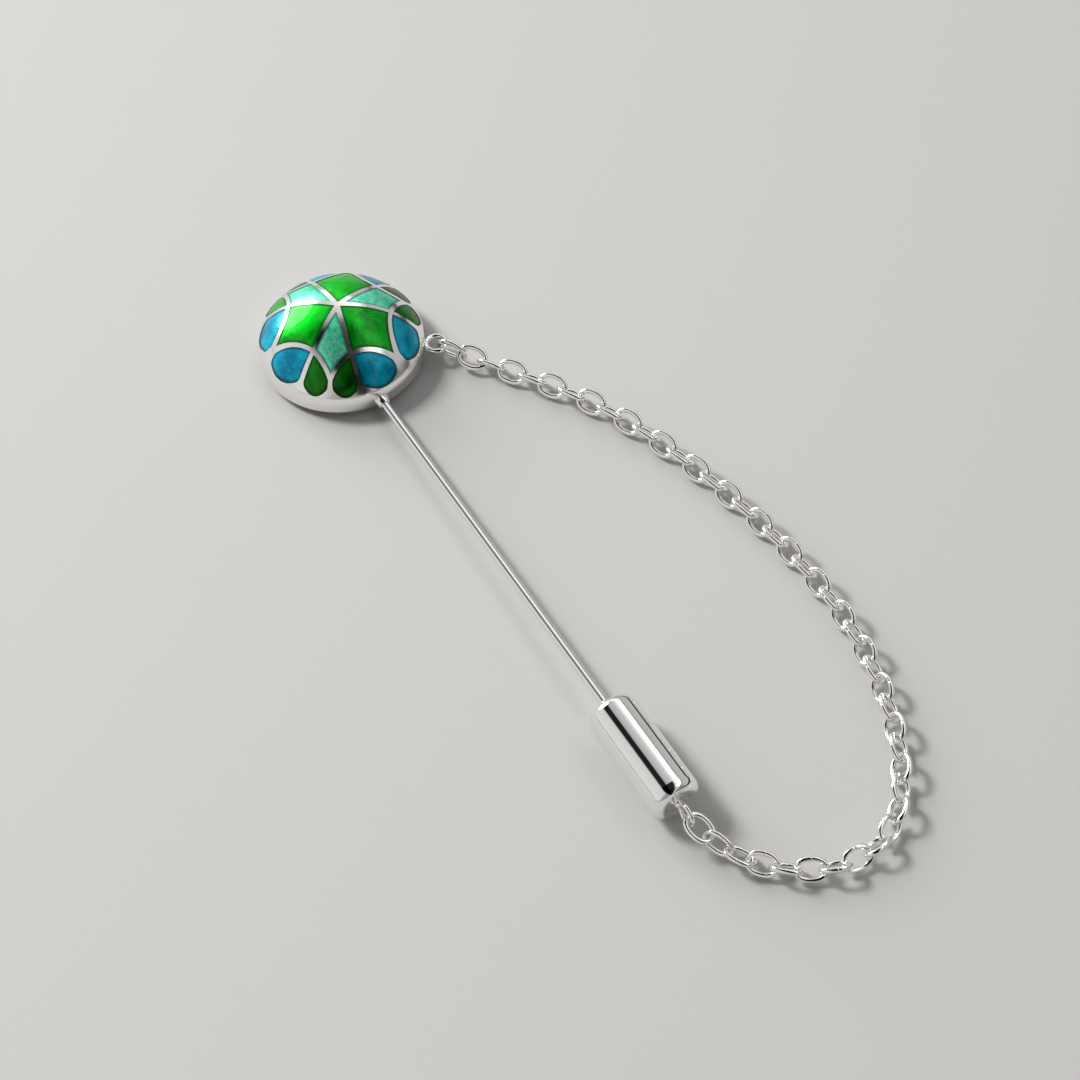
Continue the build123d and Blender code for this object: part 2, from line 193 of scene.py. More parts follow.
def wear_group():
    """Polish marks: fine scratches, faint smudges and the small waves of a buffed surface."""
    group, start, end = new_group(
        "Polish marks",
        [
            ("Roughness", "NodeSocketFloat", 0.05),
            ("Smudge", "NodeSocketFloat", 0.05),
            ("Scratch", "NodeSocketFloat", 0.5),
            ("Scratch Stretch", "NodeSocketVector", (1.0, 1.0, 1.0)),
            ("Wave Scale", "NodeSocketFloat", 900.0),
            ("Wave", "NodeSocketFloat", 0.3),
        ],
        [("Roughness", "NodeSocketFloat"), ("Height", "NodeSocketFloat")],
    )
    place = add_node(group, "ShaderNodeTexCoord", (-900, -300))
    stretch = add_node(group, "ShaderNodeVectorMath", (-700, -200), {"operation": "MULTIPLY"})
    join(group, place, "Object", stretch, 0)
    join(group, start, "Scratch Stretch", stretch, 1)
    scratches = add_node(
        group, "ShaderNodeTexNoise", (-500, -200), Scale=9000.0, Detail=3.0, Roughness=0.7
    )
    join(group, stretch, "Vector", scratches, "Vector")
    smudges = add_node(
        group, "ShaderNodeTexNoise", (-500, 150), Scale=420.0, Detail=4.0, Roughness=0.6
    )
    join(group, place, "Object", smudges, "Vector")
    waves = add_node(group, "ShaderNodeTexNoise", (-500, -520), Detail=1.0)
    join(group, place, "Object", waves, "Vector")
    join(group, start, "Wave Scale", waves, "Scale")
    patchy = add_node(
        group, "ShaderNodeMapRange", (-250, 150), From_Min=0.42, From_Max=0.72, To_Min=0.0, To_Max=1.0
    )
    join(group, smudges, "Fac", patchy, "Value")
    smudged = add_node(group, "ShaderNodeMath", (0, 150), {"operation": "MULTIPLY_ADD"})
    join(group, patchy, "Result", smudged, 0)
    join(group, start, "Smudge", smudged, 1)
    join(group, start, "Roughness", smudged, 2)
    lines = add_node(group, "ShaderNodeMath", (-100, -200), {"operation": "MULTIPLY"})
    join(group, scratches, "Fac", lines, 0)
    join(group, start, "Scratch", lines, 1)
    height = add_node(group, "ShaderNodeMath", (150, -300), {"operation": "MULTIPLY_ADD"})
    join(group, waves, "Fac", height, 0)
    join(group, start, "Wave", height, 1)
    join(group, lines, "Value", height, 2)
    join(group, smudged, "Value", end, "Roughness")
    join(group, height, "Value", end, "Height")
    return group


def shimmer_group():
    """Glass enamel over a bright ground, with drifting glow and grain, painted shade at the walls and painted
    glints.
    """
    group, start, end = new_group(
        "Enamel shimmer",
        [
            ("Deep Colour", "NodeSocketColor", (0, 0, 0, 1)),
            ("Bright Colour", "NodeSocketColor", (1, 1, 1, 1)),
            ("Glow Bias", "NodeSocketFloat", 0.0),
            ("Grain Stretch", "NodeSocketVector", (1.0, 1.0, 1.0)),
            ("Grain", "NodeSocketFloat", 0.35),
            ("Glints", "NodeSocketFloat", 0.3),
            ("Wall Shade", "NodeSocketFloat", 0.75),
        ],
        [
            ("Color", "NodeSocketColor"),
            ("Roughness", "NodeSocketFloat"),
            ("Height", "NodeSocketFloat"),
        ],
    )
    place = add_node(group, "ShaderNodeTexCoord", (-1300, -200))
    glow = add_node(
        group, "ShaderNodeTexNoise", (-900, 250), Scale=330.0, Detail=2.0, Roughness=0.5, Distortion=0.6
    )
    join(group, place, "Object", glow, "Vector")
    stretch = add_node(group, "ShaderNodeVectorMath", (-1100, -150), {"operation": "MULTIPLY"})
    join(group, place, "Object", stretch, 0)
    join(group, start, "Grain Stretch", stretch, 1)
    grain = add_node(
        group, "ShaderNodeTexNoise", (-900, -50), Scale=4200.0, Detail=4.0, Roughness=0.65, Distortion=0.4
    )
    join(group, stretch, "Vector", grain, "Vector")
    flakes = add_node(group, "ShaderNodeTexVoronoi", (-900, -350), Scale=7500.0, Randomness=1.0)
    join(group, place, "Object", flakes, "Vector")
    flake_pick = add_node(group, "ShaderNodeSeparateColor", (-700, -350))
    join(group, flakes, "Color", flake_pick, "Color")
    # Painted glints: the rarest flakes push the colour to the bright colour as painted highlights; the flakes also
    # shape the relief below.
    rare = add_node(
        group, "ShaderNodeMapRange", (-500, -350), From_Min=0.90, From_Max=0.98, To_Min=0.0, To_Max=1.0
    )
    join(group, flake_pick, "Red", rare, "Value")
    painted_glints = add_node(group, "ShaderNodeMath", (-300, -350), {"operation": "MULTIPLY"})
    join(group, rare, "Result", painted_glints, 0)
    join(group, start, "Glints", painted_glints, 1)
    grain_centred = add_node(group, "ShaderNodeMath", (-700, -50), {"operation": "SUBTRACT"})
    grain_centred.inputs[1].default_value = 0.5
    join(group, grain, "Fac", grain_centred, 0)
    grainy = add_node(group, "ShaderNodeMath", (-500, -50), {"operation": "MULTIPLY"})
    join(group, grain_centred, "Value", grainy, 0)
    join(group, start, "Grain", grainy, 1)
    glow_spread = add_node(
        group, "ShaderNodeMapRange", (-700, 250), From_Min=0.30, From_Max=0.68, To_Min=0.0, To_Max=1.0
    )
    join(group, glow, "Fac", glow_spread, "Value")
    biased = add_node(group, "ShaderNodeMath", (-500, 250), {"operation": "ADD"})
    join(group, glow_spread, "Result", biased, 0)
    join(group, start, "Glow Bias", biased, 1)
    level = add_node(group, "ShaderNodeMath", (-300, 150), {"operation": "ADD"})
    join(group, biased, "Value", level, 0)
    join(group, grainy, "Value", level, 1)
    lit = add_node(group, "ShaderNodeMath", (-100, 100), {"operation": "ADD", "use_clamp": True})
    join(group, level, "Value", lit, 0)
    join(group, painted_glints, "Value", lit, 1)
    colour = add_node(group, "ShaderNodeMix", (100, 150), {"data_type": "RGBA"})
    join(group, lit, "Value", colour, 0)
    group.links.new(start.outputs["Deep Colour"], colour.inputs[6])
    group.links.new(start.outputs["Bright Colour"], colour.inputs[7])
    # Painted shade: the colour darkens within about 0.3 mm of the cell walls, where the walls shade the enamel.
    wall = add_node(group, "ShaderNodeAttribute", (-500, 560), {"attribute_name": "from_wall"})
    near_wall = add_node(
        group, "ShaderNodeMapRange", (-300, 560), {"interpolation_type": "SMOOTHSTEP"},
        From_Min=0.02, From_Max=0.34, To_Min=1.0, To_Max=0.0,
    )
    join(group, wall, "Fac", near_wall, "Value")
    shaded = add_node(group, "ShaderNodeMath", (-100, 560), {"operation": "MULTIPLY"})
    join(group, near_wall, "Result", shaded, 0)
    join(group, start, "Wall Shade", shaded, 1)
    painted_wall_shade = add_node(group, "ShaderNodeMix", (400, 250), {"data_type": "RGBA", "blend_type": "MULTIPLY"})
    painted_wall_shade.inputs[7].default_value = (0.10, 0.13, 0.12, 1)
    join(group, shaded, "Value", painted_wall_shade, 0)
    group.links.new(colour.outputs[2], painted_wall_shade.inputs[6])
    group.links.new(painted_wall_shade.outputs[2], end.inputs["Color"])
    dull = add_node(
        group, "ShaderNodeMapRange", (300, -150), From_Min=0.3, From_Max=0.7, To_Min=0.30, To_Max=0.46
    )
    join(group, grain, "Fac", dull, "Value")
    join(group, dull, "Result", end, "Roughness")
    flake_height = add_node(group, "ShaderNodeMath", (-300, -550), {"operation": "MULTIPLY_ADD"})
    flake_height.inputs[1].default_value = 0.5
    join(group, flake_pick, "Green", flake_height, 0)
    join(group, grain, "Fac", flake_height, 2)
    join(group, flake_height, "Value", end, "Height")
    return group


def new_material(name):
    """An empty node material and its Principled shader, already joined to the output."""
    material = bpy.data.materials.new(name)
    material.use_nodes = True
    tree = material.node_tree
    tree.nodes.clear()
    shader = add_node(tree, "ShaderNodeBsdfPrincipled", (0, 0))
    output = add_node(tree, "ShaderNodeOutputMaterial", (400, 0))
    join(tree, shader, "BSDF", output, "Surface")
    return material, tree, shader


def metal(
    name, colour, roughness, smudge, scratch, wave_scale, wave, relief, stretch=EVEN, tint=0.03
):
    """Plated or polished metal, with polish marks in its roughness and relief."""
    material, tree, shader = new_material(name)
    shader.inputs["Metallic"].default_value = 1.0
    marks = tree.nodes.new("ShaderNodeGroup")
    marks.node_tree = bpy.data.node_groups["Polish marks"]
    marks.location = (-500, -100)
    for entry, value in (
        ("Roughness", roughness),
        ("Smudge", smudge),
        ("Scratch", scratch),
        ("Scratch Stretch", stretch),
        ("Wave Scale", wave_scale),
        ("Wave", wave),
    ):
        marks.inputs[entry].default_value = value
    bump = add_node(tree, "ShaderNodeBump", (-250, -200), Strength=relief, Distance=1e-5)
    join(tree, marks, "Height", bump, "Height")
    join(tree, marks, "Roughness", shader, "Roughness")
    join(tree, bump, "Normal", shader, "Normal")
    place = add_node(tree, "ShaderNodeTexCoord", (-900, 250))
    patches = add_node(tree, "ShaderNodeTexNoise", (-700, 250), Scale=260.0, Detail=3.0)
    join(tree, place, "Object", patches, "Vector")
    tone = add_node(tree, "ShaderNodeMix", (-300, 250), {"data_type": "RGBA"})
    tone.inputs[6].default_value = (*colour, 1)
    tone.inputs[7].default_value = tuple(c * (1 - tint * k) for c, k in zip(colour, (1.0, 1.6, 2.6))) + (1,)
    join(tree, patches, "Fac", tone, 0)
    tree.links.new(tone.outputs[2], shader.inputs["Base Color"])
    return material


def enamel(name, deep, bright, bias, stretch, grain, glints, wall_shade):
    """Translucent enamel under a glassy, fire-polished surface."""
    material, tree, shader = new_material(name)
    shader.inputs["Metallic"].default_value = 0.75
    shader.inputs["Specular IOR Level"].default_value = 0.05
    shader.inputs["Coat Weight"].default_value = 0.32
    shader.inputs["Coat Roughness"].default_value = 0.03
    shader.inputs["Coat IOR"].default_value = 1.5
    shimmer = tree.nodes.new("ShaderNodeGroup")
    shimmer.node_tree = bpy.data.node_groups["Enamel shimmer"]
    shimmer.location = (-450, 0)
    for entry, value in (
        ("Deep Colour", (*deep, 1)),
        ("Bright Colour", (*bright, 1)),
        ("Glow Bias", bias),
        ("Grain Stretch", stretch),
        ("Grain", grain),
        ("Glints", glints),
        ("Wall Shade", wall_shade),
    ):
        shimmer.inputs[entry].default_value = value
    bump = add_node(tree, "ShaderNodeBump", (-220, -250), Strength=0.35, Distance=2e-5)
    join(tree, shimmer, "Height", bump, "Height")
    join(tree, shimmer, "Color", shader, "Base Color")
    join(tree, shimmer, "Roughness", shader, "Roughness")
    join(tree, bump, "Normal", shader, "Normal")
    return material


# ---------------------------------------------------------------- mesh helpers


def finished_piece(name, bm, place, body, material, replaces=(), sharp=40):
    """Turns a millimetre shape into a shaded piece at its place, riding on its body."""
    bmesh.ops.recalc_face_normals(bm, faces=bm.faces)
    mesh = bpy.data.meshes.new(name)
    bm.to_mesh(mesh)
    bm.free()
    mesh.transform(place)
    mesh.polygons.foreach_set("use_smooth", [True] * len(mesh.polygons))
    mesh.set_sharp_from_angle(angle=radians(sharp))
    piece = bpy.data.objects.new(name, mesh)
    bpy.context.scene.collection.objects.link(piece)
    mesh.materials.append(material)
    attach(piece, body)
    if replaces:
        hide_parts(*replaces)
    return piece


def paint_node(node, material):
    """Gives a solid-model node its finish."""
    mesh = frame["nodes"][node].data
    mesh.materials.clear()
    mesh.materials.append(material)


def turned(bm, profile, turns, closed=False):
    """Turns a profile of (along, radius) points round the stem's way, from x = 0."""
    rings = []
    for along, radius in profile:
        if radius < 1e-6:
            rings.append([bm.verts.new((along, 0, 0))])
            continue
        rings.append(
            [
                bm.verts.new((along, radius * cos(2 * pi * k / turns), radius * sin(2 * pi * k / turns)))
                for k in range(turns)
            ]
        )
    pairs = list(zip(rings, rings[1:]))
    if closed:
        pairs.append((rings[-1], rings[0]))
    for near, far in pairs:
        for k in range(turns):
            j = (k + 1) % turns
            if len(near) == 1:
                bm.faces.new((near[0], far[k], far[j]))
            elif len(far) == 1:
                bm.faces.new((near[k], far[0], near[j]))
            else:
                bm.faces.new((near[k], far[k], far[j], near[j]))
    return rings


def corner(centre, radius, start, stop, steps):
    """Points on an arc in the turning profile, angles in degrees from the stem's way."""
    return [
        (
            centre[0] + radius * cos(radians(start + (stop - start) * n / steps)),
            centre[1] + radius * sin(radians(start + (stop - start) * n / steps)),
        )
        for n in range(steps + 1)
    ]


def swept(bm, points, normals, thickness):
    """A closed round wire along points, with its section 16 sided; thickness is a radius each."""
    sides = 16
    rings = []
    count = len(points)
    for n in range(count):
        way = (points[(n + 1) % count] - points[n - 1]).normalized()
        out = (normals[n] - way * normals[n].dot(way)).normalized()
        across = way.cross(out)
        rings.append(
            [
                bm.verts.new(
                    points[n]
                    + out * thickness[n] * cos(2 * pi * k / sides)
                    + across * thickness[n] * sin(2 * pi * k / sides)
                )
                for k in range(sides)
            ]
        )
    for n in range(count):
        near, far = rings[n], rings[(n + 1) % count]
        for k in range(sides):
            j = (k + 1) % sides
            bm.faces.new((near[k], far[k], far[j], near[j]))


def fused(bm, voxel, passes):
    """One skin round overlapping shapes, with the joints between them rounded."""
    mesh = bpy.data.meshes.new("fusing")
    bm.to_mesh(mesh)
    bm.free()
    holder = bpy.data.objects.new("fusing", mesh)
    bpy.context.scene.collection.objects.link(holder)
    skin = holder.modifiers.new("skin", "REMESH")
    skin.mode = "VOXEL"
    skin.voxel_size = voxel
    ease = holder.modifiers.new("ease", "SMOOTH")
    ease.factor = 0.6
    ease.iterations = passes
    evaluated = holder.evaluated_get(bpy.context.evaluated_depsgraph_get())
    result = bmesh.new()
    result.from_mesh(evaluated.to_mesh())
    evaluated.to_mesh_clear()
    bpy.data.objects.remove(holder)
    bpy.data.meshes.remove(mesh)
    return result


# ---------------------------------------------------------------- head


def shell_material():
    """Satin plating, with polish marks in its roughness and relief."""
    material = metal(
        "Satin silver",
        tuple(colours().silver),
        roughness=0.16,
        smudge=0.08,
        scratch=0.9,
        wave_scale=1400.0,
        wave=0.5,
        relief=0.2,
    )
    return material


def build_head():
    """Finishes the head's shell and its back plate."""
    paint_node("head_shell", shell_material())
    brushed = metal(
        "Brushed back plate",
        tuple(colours().silver),
        roughness=0.3,
        smudge=0.12,
        scratch=1.6,
        stretch=(0.06, 1.0, 1.0),
        wave_scale=700.0,
        wave=0.4,
        relief=0.5,
    )
    paint_node("back_plate", brushed)


def cell_outlines(node):
    """The top edges of a node's cells, as closed lists of points in plan, in millimetres."""
    bm = bmesh.new()
    bm.from_mesh(frame["nodes"][node].data)
    bmesh.ops.transform(bm, matrix=PIN_PLACE.inverted(), verts=bm.verts)
    bmesh.ops.remove_doubles(bm, verts=bm.verts, dist=1e-4)
    bm.normal_update()
    top = {f for f in bm.faces if f.normal.z > 0.3}
    rim = [e for e in bm.edges if sum(f in top for f in e.link_faces) == 1]
    beside = {}
    for e in rim:
        a, b = e.verts
        beside.setdefault(a, []).append(b)
        beside.setdefault(b, []).append(a)
    outlines, seen = [], set()
    for first in beside:
        if first in seen:
            continue
        loop, here, before = [first], first, None
        seen.add(first)
        while True:
            ahead = [v for v in beside[here] if v is not before and v not in seen]
            if not ahead:
                break
            before, here = here, ahead[0]
            seen.add(here)
            loop.append(here)
        outlines.append([(v.co.x, v.co.y) for v in loop])
    bm.free()
    return outlines


def filled_in(outline, spacing):
    """The outline with more points on its long runs, its corners kept."""
    points = []
    for (ax, ay), (bx, by) in zip(outline, outline[1:] + outline[:1]):
        steps = max(1, round(sqrt((bx - ax) ** 2 + (by - ay) ** 2) / spacing))
        points += [(ax + (bx - ax) * n / steps, ay + (by - ay) * n / steps) for n in range(steps)]
    return np.array(points)


def middle_of(outline):
    """The centre of the area inside an outline."""
    x, y = outline[:, 0], outline[:, 1]
    nx, ny = np.roll(x, -1), np.roll(y, -1)
    cross = x * ny - nx * y
    area = cross.sum() / 2
    return np.array([((x + nx) * cross).sum(), ((y + ny) * cross).sum()]) / (6 * area)


def wall_distance(points, outline):
    """How far each point is from the outline."""
    a, b = outline, np.roll(outline, -1, axis=0)
    run = b - a
    along = ((points[:, None] - a) * run).sum(2) / np.maximum((run**2).sum(1), 1e-12)
    nearest = a + run * np.clip(along, 0, 1)[:, :, None]
    return np.sqrt(((points[:, None] - nearest) ** 2).sum(2)).min(1)


def swell(from_wall):
    """The enamel's height over the dome: it climbs its walls and swells towards the middle."""
    climb = in_mm(sizes().enamel_climb) * exp(-((from_wall / 0.07) ** 2))
    crown = in_mm(sizes().enamel_crown) * (1 - exp(-from_wall / 0.55))
    return climb + crown - 0.03


def on_dome(x, y, height):
    """A point over the dome, height above it along its own normal."""
    crown = in_mm(sizes().crown_radius)
    centre = in_mm(sizes().head_height) - crown
    up = sqrt(max(crown**2 - x * x - y * y, 0.01))
    normal = Vector((x, y, up)) / crown
    return Vector((0, 0, centre)) + normal * (crown + height)


RING_SHARES = (1.0, 0.985, 0.965, 0.94, 0.91, 0.87, 0.82, 0.76, 0.69, 0.61, 0.52, 0.42, 0.32, 0.22, 0.12)
ENAMEL_BELOW_RIBS = 0.04
ENAMEL_DEPTH = 0.30


def add_cell(bm, outline, layer):
    """One cell: a swelling top of rings inside each other, a wall and a closed underside."""
    outline = filled_in(outline, 0.11)
    middle = middle_of(outline)
    rings = []
    for share in RING_SHARES:
        plan = middle + (outline - middle) * share
        gaps = wall_distance(plan, outline)
        ring = []
        for (x, y), gap in zip(plan, gaps):
            ripple = 0.0075 * noise.noise(Vector((x * 1.6, y * 1.6, 3.1)))
            ripple += 0.0025 * noise.noise(Vector((x * 4.5, y * 4.5, 9.7)))
            vert = bm.verts.new(on_dome(x, y, swell(gap) + ripple - ENAMEL_BELOW_RIBS))
            vert[layer] = gap
            ring.append(vert)
        rings.append(ring)
    gap = float(wall_distance(middle[None, :], outline)[0])
    centre = bm.verts.new(on_dome(middle[0], middle[1], swell(gap) - ENAMEL_BELOW_RIBS))
    centre[layer] = gap
    under = [bm.verts.new(on_dome(x, y, -ENAMEL_DEPTH)) for x, y in outline]
    under_centre = bm.verts.new(on_dome(middle[0], middle[1], -ENAMEL_DEPTH))
    count = len(outline)
    for outer, inner in zip([under] + rings, rings):
        for k in range(count):
            j = (k + 1) % count
            bm.faces.new((outer[k], outer[j], inner[j], inner[k]))
    for k in range(count):
        j = (k + 1) % count
        bm.faces.new((rings[-1][k], rings[-1][j], centre))
        bm.faces.new((under[j], under[k], under_centre))


def build_enamel():
    """Fills the head's cells with enamel in four colours."""
    c = colours()
    drawn = (0.45, 1.0, 1.0)
    finishes = {
        "enamel_green": ("green_enamel", c.green_deep, c.green_bright, 0.12, EVEN, 0.5, 0.45, 0.9),
        "enamel_mint": ("mint_enamel", c.mint_deep, c.mint_bright, -0.05, drawn, 1.5, 0.5, 0.7),
        "enamel_dark_green": ("dark_green_enamel", c.leaf_deep, c.leaf_bright, -0.05, EVEN, 0.3, 0.12, 0.85),
        "enamel_blue": ("blue_enamel", c.blue_deep, c.blue_bright, 0.0, EVEN, 1.3, 0.5, 0.85),
    }
    for node, (slot, deep, bright, bias, stretch, grain, glints, shade) in finishes.items():
        material = enamel(
            node.replace("_", " ").capitalize(),
            tuple(deep),
            tuple(bright),
            bias,
            stretch,
            grain,
            glints,
            shade,
        )
        bm = bmesh.new()
        layer = bm.verts.layers.float.new("from_wall")
        for outline in cell_outlines(node):
            add_cell(bm, outline, layer)
        finished_piece(node + "_cells", bm, PIN_PLACE, "pin", material, [node], sharp=50)


RING_POINTS = 72
FUSING_VOXEL = 0.04
FUSING_PASSES = 5


def soldered_ring(radius, wire, foot_start, foot_end, foot_radius):
    """A wire ring lying flat, with a solder foot running to it along x."""
    bm = bmesh.new()
    count = RING_POINTS
    points = [
        Vector((cos(2 * pi * n / count), sin(2 * pi * n / count), 0)) * radius for n in range(count)
    ]
    swept(bm, points, [Vector((0, 0, 1))] * count, [wire / 2] * count)
    bmesh.ops.create_cone(
        bm,
        cap_ends=True,
        segments=32,
        radius1=foot_radius,
        radius2=wire * 0.46,
        depth=abs(foot_end - foot_start),
        matrix=Matrix.Translation(((foot_start + foot_end) / 2, 0, 0))
        @ Matrix.Rotation(pi / 2, 4, "Y"),
    )
    return fused(bm, FUSING_VOXEL, FUSING_PASSES)


def build_rim_eyelet(silver):
    """The ring on the band that the chain hangs from."""
    wire = in_mm(sizes().link_wire)
    middle = pin_point(box_middle("rim_eyelet"))
    bearing = atan2(middle.y, middle.x)
    ring_radius = (in_mm(sizes().link_width) - wire) / 2
    low = min((pin_point(v.co).xy.length for v in frame["nodes"]["rim_eyelet"].data.vertices))
    high = max((pin_point(v.co).xy.length for v in frame["nodes"]["rim_eyelet"].data.vertices))
    reach = high - ring_radius - wire / 2
    place = (
        PIN_PLACE
        @ Matrix.Rotation(bearing, 4, "Z")
        @ Matrix.Translation((reach, 0, pin_point(box_middle("rim_eyelet")).z))
    )
    bm = soldered_ring(ring_radius, wire, low - reach - 0.02, -ring_radius + 0.05, wire * 0.72)
    finished_piece("rim_eyelet_ring", bm, place, "pin", silver, ["rim_eyelet"], 180)


# ---------------------------------------------------------------- stem


STEM_THINNING = 0.02
STEP_LENGTH = 0.3
STEM_WAVE = 0.0012
POINT_TIP = 0.06
POINT_FULLNESS = 1.08


def build_stem():
    """The stem's wire, the bead of solder at the rim and the solder under the head."""
    steel = metal(
        "Polished steel wire",
        tuple(colours().steel),
        roughness=0.045,
        smudge=0.03,
        scratch=0.5,
        stretch=(0.03, 1.0, 1.0),
        wave_scale=500.0,
        wave=0.5,
        relief=0.25,
        tint=0.01,
    )
    solder = metal(
        "Bright solder",
        tuple(colours().silver),
        roughness=0.13,
        smudge=0.12,
        scratch=0.7,
        wave_scale=2600.0,
        wave=1.0,
        relief=0.8,
    )
    points = [pin_point(v.co) for v in frame["nodes"]["stem"].data.vertices]
    start, tip = min(p.x for p in points), max(p.x for p in points)
    axis_z = pin_point(CLUTCH_MOUTH).z
    mouth_x = pin_point(CLUTCH_MOUTH).x
    wire = in_mm(sizes().wire_radius)
    collar_end = max(pin_point(v.co).x for v in frame["nodes"]["stem_collar"].data.vertices)
    thin = wire - STEM_THINNING
    profile = [(start, 0.0), (start, thin * 0.8), (start + thin * 0.2, thin), (collar_end - 0.55, thin)]
    profile.append((collar_end + 0.05, wire))
    steps = 160
    for n in range(1, steps):
        along = collar_end + (mouth_x - STEP_LENGTH - collar_end) * n / steps
        drawn = STEM_WAVE * noise.noise(Vector((along * 0.35, 4.2, 0.0)))
        profile.append((along, wire - STEM_WAVE + drawn))
    taper_start = tip - in_mm(sizes().point_length)
    profile += [(mouth_x - STEP_LENGTH, wire), (taper_start, thin)]
    for n in range(1, 25):
        share = n / 24
        along = taper_start + (tip - taper_start) * share
        profile.append((along, thin + (POINT_TIP - thin) * share**POINT_FULLNESS))
    profile.append((tip, 0.0))
    bm = bmesh.new()
    turned(bm, profile, 64)
    axis_place = PIN_PLACE @ Matrix.Translation((0, 0, axis_z))
    finished_piece("stem_wire", bm, axis_place, "pin", steel, ["stem"], 30)
    build_solder_bead(solder, collar_end, axis_z)
    paint_node("stem_solder", solder)


def build_solder_bead(solder, end, axis_z):
    """An uneven bead drawn up round the wire where it leaves the band."""
    wire = in_mm(sizes().wire_radius)
    start = in_mm(sizes().head_radius) - 0.12
    length = end - start
    steps, turns = 22, 48
    profile = []
    for n in range(steps + 1):
        share = n / steps
        bulge = wire + 0.34 * sqrt(max(0.0, 1 - (max(0.0, share - 0.15) / 0.85) ** 1.7)) * (1 - 0.1 * share)
        profile.append((start + length * share, bulge))
    bm = bmesh.new()
    turned(bm, profile + [(end, wire - 0.03), (start, wire - 0.03)], turns, closed=True)
    for vert in bm.verts:
        radial = Vector((0, vert.co.y, vert.co.z))
        if radial.length > wire + 0.01:
            lump = 0.05 * noise.noise(Vector((vert.co.x * 2.2, vert.co.y * 2.0, vert.co.z * 2.0 + 5)))
            room = min(1.0, (radial.length - wire) / 0.12)
            vert.co += radial.normalized() * lump * room
            vert.co.z = max(vert.co.z, -axis_z + 0.02)
    place = PIN_PLACE @ Matrix.Translation((0, 0, axis_z))
    finished_piece("stem_solder_bead", bm, place, "pin", solder, ["stem_collar"], 60)


# ---------------------------------------------------------------- clutch


# The barrel in millimetres, and its roundings and plug as shares of its radius.
BARREL_WALL = 0.4
MOUTH_PLAY = 0.35
MOUTH_ROUNDING = 0.473
END_ROUNDING = 0.418
PLUG_SHARE = 0.49
EYE_NECK = 0.3
EYE_FINENESS = 0.88


def barrel_profile(radius, length, wall, mouth_round, end_round, bore, plug):
    """The barrel's closed section: outside from its mouth to its far end, then back inside."""
    edge = 0.07
    outside = corner((edge, bore + edge), edge, 270, 180, 4)
    outside += corner((mouth_round, radius - mouth_round), mouth_round, 180, 90, 20)
    outside += [(length * n / 24, radius) for n in range(4, 21)]
    outside += corner((length - end_round, radius - end_round), end_round, 90, 0, 20)
    outside += corner((length - edge, plug + edge), edge, 0, -90, 4)
    back = [(length - wall, plug)]
    back += corner((length - end_round, radius - end_round), end_round - wall, 0, 90, 8)
    back += corner((mouth_round, radius - mouth_round), mouth_round - wall, 90, 180, 8)
    back += [(wall, bore)]
    return outside + back


def build_clutch(silver):
    """The barrel, the plug with its eye, and the nylon grip inside."""
    radius, length = in_mm(sizes().clutch_radius), in_mm(sizes().clutch_length)
    at_mouth = pin_point(CLUTCH_MOUTH)
    place = PIN_PLACE @ Matrix.Translation(at_mouth)
    bm = bmesh.new()
    profile = barrel_profile(
        radius,
        length,
        BARREL_WALL,
        MOUTH_ROUNDING * radius,
        END_ROUNDING * radius,
        in_mm(sizes().wire_radius) + MOUTH_PLAY,
        PLUG_SHARE * radius,
    )
    turned(bm, profile, sizes().turns, closed=True)
    mirror = metal(
        "Mirror silver",
        tuple(colours().silver),
        roughness=0.018,
        smudge=0.03,
        scratch=0.35,
        stretch=(0.25, 1.0, 1.0),
        wave_scale=260.0,
        wave=0.6,
        relief=0.12,
        tint=0.01,
    )
    finished_piece(
        "clutch_barrel_turned", bm, place, "clutch", mirror, ["clutch_barrel"], 28
    )
    paint_node("clutch_plug", silver)
    wire = in_mm(sizes().link_wire)
    high = max(pin_point(v.co).x for v in frame["nodes"]["clutch_eye"].data.vertices) - at_mouth.x
    eye_radius = (high - length - EYE_NECK - wire / 2) / 2
    upright = Matrix.Rotation(pi / 2, 4, "X")
    eye_place = place @ Matrix.Translation((high - eye_radius - wire / 2, 0, 0)) @ upright
    start = length - (high - eye_radius - wire / 2)
    # The eye's wire is a little finer than the solid's, which leaves the last link more room.
    fine_wire = wire * EYE_FINENESS
    bm = soldered_ring(eye_radius, fine_wire, start + 0.01, -eye_radius + 0.08, wire * 0.8)
    finished_piece("clutch_eye_ring", bm, eye_place, "clutch", silver, ["clutch_eye"], 180)
    nylon, tree, shader = new_material("Natural nylon")
    shader.inputs["Subsurface Weight"].default_value = 0.2
    shader.inputs["Subsurface Radius"].default_value = (0.001, 0.0009, 0.0007)
    place_node = add_node(tree, "ShaderNodeTexCoord", (-900, 0))
    mould = add_node(tree, "ShaderNodeTexNoise", (-700, 0), Scale=1800.0, Detail=4.0)
    join(tree, place_node, "Object", mould, "Vector")
    tone = add_node(tree, "ShaderNodeMix", (-400, 150), {"data_type": "RGBA"})
    tone.inputs[6].default_value = (0.80, 0.79, 0.74, 1)
    tone.inputs[7].default_value = (0.70, 0.68, 0.62, 1)
    join(tree, mould, "Fac", tone, 0)
    tree.links.new(tone.outputs[2], shader.inputs["Base Color"])
    gloss = add_node(
        tree, "ShaderNodeMapRange", (-400, -80), From_Min=0.3, From_Max=0.7, To_Min=0.35, To_Max=0.55
    )
    join(tree, mould, "Fac", gloss, "Value")
    join(tree, gloss, "Result", shader, "Roughness")
    paint_node("grip_sleeve", nylon)


# ---------------------------------------------------------------- chain


# An exponent of 2 is an ellipse; more is squarer.
LINK_FULLNESS = 2.25
SEAM_DEPTH = 0.10
SEAM_WIDTH = 0.02


